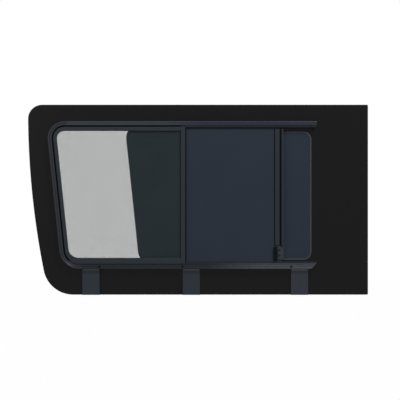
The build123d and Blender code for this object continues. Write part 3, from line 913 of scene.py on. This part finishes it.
@dataclass
class Sash:
    """The sliding sash with its pull strip and catch, in millimetres.

    Attributes:
        shadow_sealant_width: Width of the black line of painted shadow beside the pull strip.
        shadow_sealant_height: Height of that line.
        shadow_sealant_knee: Shares of width and height where its slope bends.
        grip_inner: Distance from the strip's rear side to the front side of its groove.
        grip_outer: Distance to the rear side of the groove.
        grip_back: Height of the groove's floor over the glass.
        grip_front: Height of the insert's edges over the glass.
        grip_dish: How much lower its middle lies.
        screw_x: X of both screws of the catch plate.
        screw_levels: Levels of the screws.
        screw_radius: Radius of a screw head.
        screw_height: Height of a screw head.
        screw_sink: How deep it stands in the plate.
        screw_rings: Rings of its mesh.
        screw_spokes: Corners of each ring.
        dome_power: Power that rounds its dome.
        recess_depth: Depth of its cross recess, as a share of its height.
        recess_half: Half the width of an arm, as a share of its radius.
        recess_reach: Reach of an arm, as a share of its radius.
    """

    shadow_sealant_width: float = 3.6
    shadow_sealant_height: float = 1.8
    shadow_sealant_knee: Place = (0.45, 0.85)
    grip_inner: float = 12.45
    grip_outer: float = 6.15
    grip_back: float = 2.25
    grip_front: float = 3.4
    grip_dish: float = 0.3
    screw_x: float = 276.0
    screw_levels: Place = (-472.5, -491.0)
    screw_radius: float = 3.4
    screw_height: float = 1.5
    screw_sink: float = 0.05
    screw_rings: int = 10
    screw_spokes: int = 32
    dome_power: float = 2.4
    recess_depth: float = 0.55
    recess_half: float = 0.16
    recess_reach: float = 0.62

    def build(self) -> None:
        """Dresses the sash, lays the black line of painted shadow and the grip on its strip and drives the
        screws of the catch.
        """
        dress("sliding_glass", Material.SASH)
        dress("pull_strip", Material.SCREEN)
        dress("catch_plate", Material.PLATE)
        dress("catch_bolt", Material.PLASTIC)
        self.lay_shadow_sealant()
        self.lay_grip()
        face = -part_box("catch_plate")[0][1] / MM
        for number, level in enumerate(self.screw_levels, 1):
            self.drive_screw(f"catch_screw_{number}", level, face)

    def lay_shadow_sealant(self) -> None:
        """Lays a black line along the front side of the pull strip, shaped as a bead of sealant: a painted
        shadow of the strip on the glass.
        """
        (left, _, low), (_, _, high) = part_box("pull_strip")
        glass = -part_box("sliding_glass")[0][1]
        width, height = self.shadow_sealant_width * MM, self.shadow_sealant_height * MM
        across, rise = self.shadow_sealant_knee
        profile = [(left, glass), (left, glass + height), (left - width * across, glass + height * rise),
                   (left - width, glass)]
        # painted shadow: the black bead stands where the strip's shadow falls on the glass
        add_piece("strip_shadow_sealant", upright_bar(profile, low, high), Material.RUBBER, "sash")

    def lay_grip(self) -> None:
        """Lays the soft black insert in the finger groove of the pull strip."""
        (_, _, low), (right, _, high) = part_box("pull_strip")
        glass = -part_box("sliding_glass")[0][1]
        inner, outer = right - self.grip_inner * MM, right - self.grip_outer * MM
        back, front = glass + self.grip_back * MM, glass + self.grip_front * MM
        profile = [(inner, back), (inner, front), ((inner + outer) / 2, front - self.grip_dish * MM),
                   (outer, front), (outer, back)]
        add_piece("strip_grip", upright_bar(profile, low, high), Material.GASKET, "sash")

    def drive_screw(self, name: str, level: float, face: float) -> None:
        """Makes one closed domed screw head with a cross recess.

        Args:
            name: Name of the piece.
            level: Level of its middle.
            face: Depth of the face that it stands on.
        """
        rings, spokes = self.screw_rings, self.screw_spokes
        seat = face - self.screw_sink
        recess = self.recess_depth * self.screw_height
        points: list[Point] = [(self.screw_x * MM, -(seat + self.screw_height - recess) * MM, level * MM)]
        faces: list[Face] = []
        for ring in range(1, rings + 1):
            reach = ring / rings
            dome = self.screw_height * math.sqrt(max(1 - reach ** self.dome_power, 0.0))
            for spoke in range(spokes):
                turn = 2 * math.pi * spoke / spokes
                x, rise = reach * math.cos(turn), reach * math.sin(turn)
                arm = min(abs(x), abs(rise)) < self.recess_half and reach < self.recess_reach
                height = dome - (recess if arm else 0.0)
                points.append(((self.screw_x + x * self.screw_radius) * MM, -(seat + height) * MM,
                               (level + rise * self.screw_radius) * MM))
        rim = 1 + (rings - 1) * spokes
        for spoke in range(spokes):
            beside = (spoke + 1) % spokes
            faces.append((0, 1 + spoke, 1 + beside))
            for start in range(1, rim, spokes):
                faces.append((start + spoke, start + beside, start + spokes + beside, start + spokes + spoke))
        faces.append(tuple(range(rim, rim + spokes)))
        add_piece(name, (points, faces), Material.SCREW, "sash")


@dataclass(frozen=True)
class Duct:
    """One drain duct and the weep hole beside it, in millimetres.

    Attributes:
        place: Its place along the rail, as in the name of its node.
        centre: X of its middle.
        weep: X of the weep hole.
        finish: Its finish.
    """

    place: str
    centre: float
    weep: float
    finish: Material = Material.DUCT


@dataclass
class Drains:
    """The three drain ducts under the bottom rail and the weep holes beside them, in millimetres.

    Attributes:
        ducts: The ducts from front to rear.
        weep_level: Level of the middle of the weep holes.
        shade_flap_width: Width of the black rubber flap in a weep hole, whose black also paints the shade
            inside the hole.
        shade_flap_height: Its height.
        shade_flap_back: Depth of its back.
        shade_flap_front: Depth of its front.
        shade_flap_bevel: Bevel of its front edges.
        collar_half: Half the length of the bright collar on top of a duct.
        collar_top: Level of the upper side of the collar.
        collar_height: Its height.
        collar_back: Depth of its back.
        collar_front: Depth of its front.
        collar_bevel: Depth and height of the bevel of its front edges.
    """

    ducts: tuple[Duct, ...] = (Duct("front", -363.0, -333.5), Duct("middle", -22.7, -52.2),
                               Duct("rear", 344.5, 315.0, Material.LIT_DUCT))
    weep_level: float = -528.35
    shade_flap_width: float = 5.9
    shade_flap_height: float = 7.9
    shade_flap_back: float = 19.6
    shade_flap_front: float = 20.6
    shade_flap_bevel: float = 0.6
    collar_half: float = 27.0
    collar_top: float = -537.1
    collar_height: float = 4.0
    collar_back: float = 13.52
    collar_front: float = 14.8
    collar_bevel: Place = (0.5, 0.8)

    def build(self) -> None:
        """Dresses the ducts and sets the black flaps, which also paint shade, and the collars."""
        for duct in self.ducts:
            dress(f"drain_duct_{duct.place}", duct.finish)
            self.set_shade_flap(f"weep_shade_flap_{duct.place}", duct.weep)
            self.set_collar(f"duct_collar_{duct.place}", duct.centre)

    def set_shade_flap(self, name: str, x: float) -> None:
        """Sets one black rubber flap with bevelled edges in a weep hole; its black also paints the shade
        inside the hole.

        Args:
            name: Name of the piece.
            x: X of its middle.
        """
        points: list[Point] = []
        shoulder = self.shade_flap_front - self.shade_flap_bevel
        for depth, shrink in ((self.shade_flap_back, 0.0), (shoulder, 0.0), (self.shade_flap_front, self.shade_flap_bevel)):
            wide, high = self.shade_flap_width / 2 - shrink, self.shade_flap_height / 2 - shrink
            for right, up in ((-1, -1), (1, -1), (1, 1), (-1, 1)):
                points.append(((x + right * wide) * MM, -depth * MM, (self.weep_level + up * high) * MM))
        faces: list[Face] = [(3, 2, 1, 0), (8, 9, 10, 11)]
        for ring in (0, 4):
            faces += [(ring + side, ring + (side + 1) % 4, ring + 4 + (side + 1) % 4, ring + 4 + side)
                      for side in range(4)]
        # painted shade: the black flap darkens the weep hole as its shade would
        add_piece(name, (points, faces), Material.GASKET, "frame")

    def set_collar(self, name: str, x: float) -> None:
        """Sets one glossy bevelled collar on top of a duct, lighter towards the rear by painted sheen.

        Args:
            name: Name of the piece.
            x: X of its middle.
        """
        low, back, front = -self.collar_height, self.collar_back, self.collar_front
        step, rise = self.collar_bevel
        profile = [(0.0, back), (0.0, front - step), (-rise, front), (low + rise, front), (low, front - step),
                   (low, back)]
        outline = [(x - self.collar_half, self.collar_top), (x + self.collar_half, self.collar_top)]
        add_piece(name, sweep(outline, profile, closed=False), Material.SHEENED_COLLAR, "frame")


@dataclass(frozen=True)
class Lamp:
    """One large soft square lamp.

    Attributes:
        name: Name of the lamp.
        place: Where it hangs, in metres.
        side: Its width and height in metres.
        power: Its power in watts.
    """

    name: str
    place: Point
    side: float
    power: float

    def hang(self, aim: Point) -> None:
        """Adds the lamp to the scene.

        Args:
            aim: The point that it shines at.
        """
        data = bpy.data.lights.new(self.name, "AREA")
        data.shape = "RECTANGLE"
        data.size = data.size_y = self.side
        data.energy = self.power
        lamp = bpy.data.objects.new(self.name, data)
        lamp.location = self.place
        lamp.rotation_euler = (Vector(aim) - Vector(self.place)).to_track_quat("-Z", "Y").to_euler()
        bpy.context.scene.collection.objects.link(lamp)


@dataclass
class Studio:
    """Camera, lamps, background and floor, in metres unless stated.

    Attributes:
        lens: Focal length in millimetres.
        sensor: Width of the sensor in millimetres.
        view_width: Width of the picture at the bonding face.
        view_depth: How far the camera sees.
        aim: Point in the middle of the picture.
        lamps: The key lamp and the fill lamp.
        dome: Brightness of the light from all round.
        dome_colour: Colour of that light.
        floor_level: Level of the floor.
        floor_half: Half the width of the floor.
        floor_grey: Brightness of the floor's paint.
        floor_fade: Distances from the origin between which the floor whitens.
        floor_white: Share of white in what is seen of the floor, near and far.
    """

    lens: float = 120.0
    sensor: float = 36.0
    view_width: float = 1.36
    view_depth: float = 100.0
    aim: Point = (0.0068, 0.0, -0.303)
    lamps: tuple[Lamp, ...] = (Lamp("key_lamp", (1.6, -2.5, 2.9), 1.2, 210.0),
                               Lamp("fill_lamp", (-2.2, -3.4, 0.6), 1.8, 31.5))
    dome: float = 0.16
    dome_colour: Colour = (0.97, 0.985, 1.0)
    floor_level: float = -1.3
    floor_half: float = 12.0
    floor_grey: float = 0.9
    floor_fade: Place = (1.3, 2.4)
    floor_white: Place = (0.7, 0.985)

    def build(self) -> None:
        """Sets up the whole studio."""
        bpy.context.scene.view_settings.view_transform = "Standard"
        self.set_camera()
        self.set_background()
        for lamp in self.lamps:
            lamp.hang(self.aim)
        self.lay_floor()

    def set_camera(self) -> None:
        """Places the camera square to the inside of the window."""
        data = bpy.data.cameras.new("camera")
        data.lens = self.lens
        data.sensor_width = self.sensor
        data.clip_end = self.view_depth
        camera = bpy.data.objects.new("camera", data)
        camera.location = (self.aim[0], -self.view_width * self.lens / self.sensor, self.aim[2])
        camera.rotation_euler = (math.pi / 2, 0.0, 0.0)
        bpy.context.scene.collection.objects.link(camera)
        bpy.context.scene.camera = camera

    def set_background(self) -> None:
        """Lights the object softly from all round, with white behind it."""
        world = bpy.data.worlds.new("studio")
        world.use_nodes = True
        bpy.context.scene.world = world
        graph = Graph(world.node_tree)
        dome = graph.node("ShaderNodeBackground", None,
                          {"Color": tint(self.dome_colour, 1.0), "Strength": self.dome})
        white = graph.node("ShaderNodeBackground", None, {"Color": WHITE, "Strength": 1.0})
        mix = graph.node("ShaderNodeMixShader", None,
                         {0: graph.seen(), 1: dome.outputs[0], 2: white.outputs[0]})
        graph.node("ShaderNodeOutputWorld", None, {"Surface": mix.outputs[0]})

    def lay_floor(self) -> None:
        """Lays the pale floor, which keeps the object's shadow near it and is white further off."""
        made, graph = new_material("floor")
        matt = graph.node("ShaderNodeBsdfDiffuse", None, {"Color": tint(EVEN, self.floor_grey)})
        white = graph.node("ShaderNodeEmission", None, {"Color": WHITE, "Strength": 1.0})
        away = graph.node("ShaderNodeVectorMath", {"operation": "LENGTH"}, {0: graph.place()})
        share = graph.value("ShaderNodeMapRange", {"interpolation_type": "SMOOTHSTEP"}, {
            "Value": away.outputs["Value"],
            "From Min": self.floor_fade[0],
            "From Max": self.floor_fade[1],
            "To Min": self.floor_white[0],
            "To Max": self.floor_white[1],
        })
        mix = graph.node("ShaderNodeMixShader", None,
                         {0: graph.seen() * share, 1: matt.outputs[0], 2: white.outputs[0]})
        graph.node("ShaderNodeOutputMaterial", None, {"Surface": mix.outputs[0]})
        half = self.floor_half
        corners = [(-half, -half), (half, -half), (half, half), (-half, half)]
        data = bpy.data.meshes.new("floor")
        data.from_pydata([(x, y, self.floor_level) for x, y in corners], [], [(0, 1, 2, 3)])
        data.materials.append(made)
        floor = bpy.data.objects.new("floor", data)
        bpy.context.scene.collection.objects.link(floor)


def main() -> None:
    """Builds the studio and every sub-assembly."""
    logging.basicConfig(level=logging.INFO, format="%(name)s: %(message)s")
    Studio().build()
    for assembly in (FixedPane(), Track(), InsectScreen(), Sash(), Drains()):
        assembly.build()
        LOG.info("finished %s", type(assembly).__name__)


if __name__ == "__main__":
    main()
